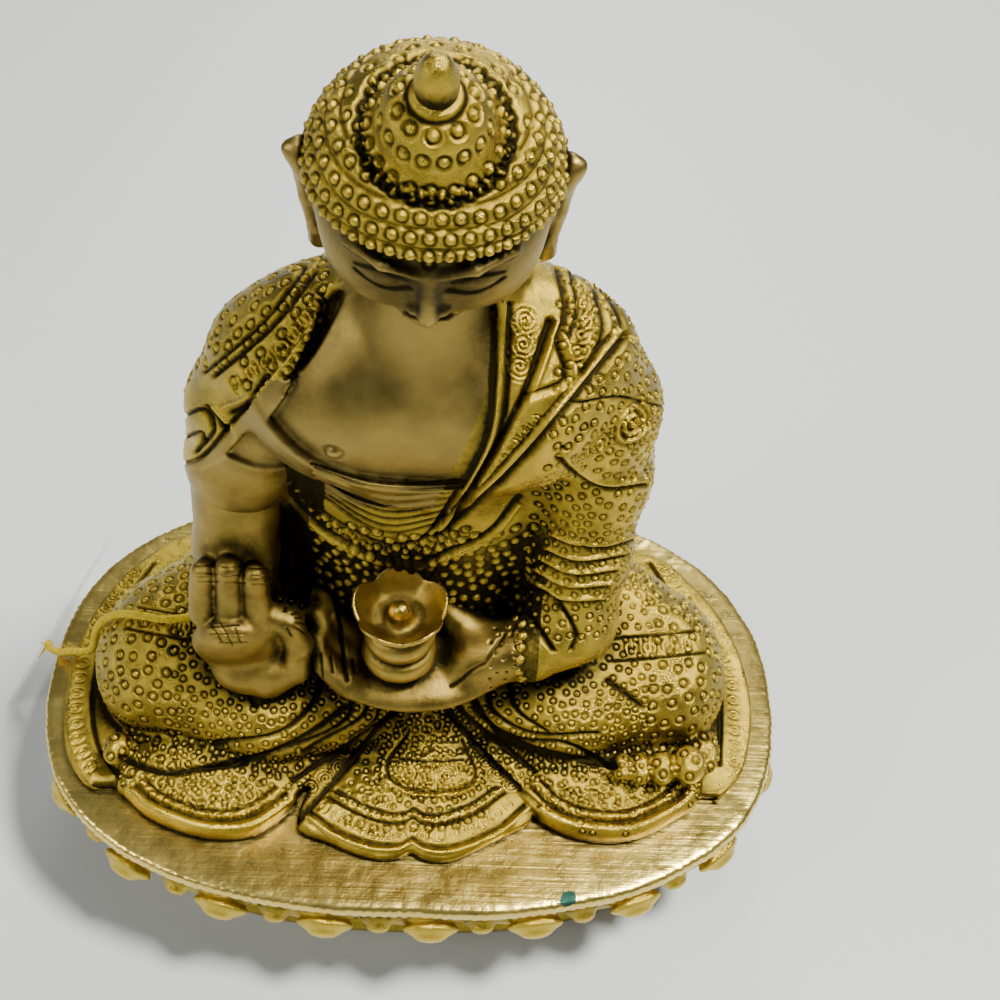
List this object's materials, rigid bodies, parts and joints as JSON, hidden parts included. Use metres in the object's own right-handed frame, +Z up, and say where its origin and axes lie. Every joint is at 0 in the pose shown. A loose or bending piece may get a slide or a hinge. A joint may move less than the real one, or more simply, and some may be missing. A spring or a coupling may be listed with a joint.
{
  "type": "seated buddha statue",
  "caption": "Seated robed Buddha with a raised hand and an alms bowl, cast in brass in separate pieces on a hollow oval lotus pedestal.",
  "frame": {"origin": "centre of the pedestal's underside, on the surface it stands on", "axes": "+Z up, the figure faces -Y, +X towards the figure's left hand side"},
  "size_m": [0.131, 0.0788, 0.1442],
  "materials": {
    "chased_brass": "chased and punched, dark brown in the recesses, bright on the high points",
    "polished_brass": "satin polished",
    "brushed_brass": "filed and brushed bright",
    "browned_brass": "satin with brown patina",
    "steel": "plain zinc-free steel, dull",
    "yellow_cotton": "twisted cotton, frayed",
    "clear_plastic": "clear film"
  },
  "bodies": {
    "root": {"lower_lotus_ring": "chased_brass", "upper_lotus_ring": "chased_brass", "deck_plate": "brushed_brass", "base_cover_plate": "brushed_brass", "fixing_stud": "brushed_brass", "fixing_washer": "steel", "fixing_nut": "steel", "crossed_legs_robe": "chased_brass", "torso": "polished_brass", "right_sleeve": "chased_brass", "right_forearm_hand": "browned_brass", "left_sleeve": "chased_brass", "left_hand": "browned_brass", "alms_bowl": "polished_brass", "head": "polished_brass", "finial_jewel": "polished_brass", "tie_thread": "yellow_cotton", "hang_tag": "clear_plastic"}
  },
  "joints": []
}
